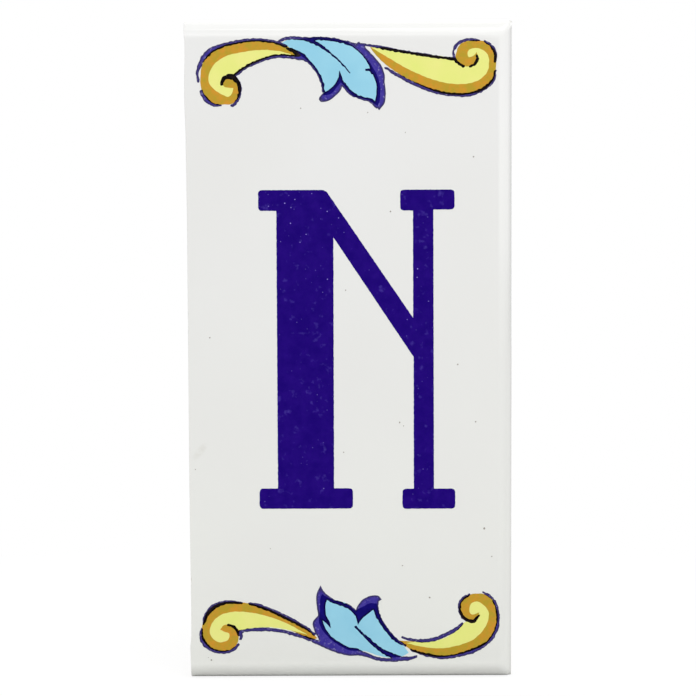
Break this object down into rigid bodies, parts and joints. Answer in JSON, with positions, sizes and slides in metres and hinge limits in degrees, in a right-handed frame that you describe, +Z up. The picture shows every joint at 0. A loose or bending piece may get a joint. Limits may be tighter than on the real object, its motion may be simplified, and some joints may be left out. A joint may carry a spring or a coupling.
{
  "type": "ceramic letter tile",
  "caption": "Upright glazed ceramic wall tile with one letter and painted scroll borders, rolled edges on three sides, a sawn fourth side and a ribbed back for adhesive.",
  "frame": {"origin": "centre of the ribbed back, in the plane that meets the wall", "axes": "+Z up the letter, +X to the right as the letter is read, +Y out of the back into the wall; the glazed face looks along -Y"},
  "size_m": [0.074, 0.007, 0.15],
  "materials": {
    "glazed_ceramic": "glossy white glaze with fired-on colours; the back and the sawn side are bare biscuit"
  },
  "bodies": {
    "root": {"letter_tile": "glazed_ceramic"}
  },
  "joints": []
}
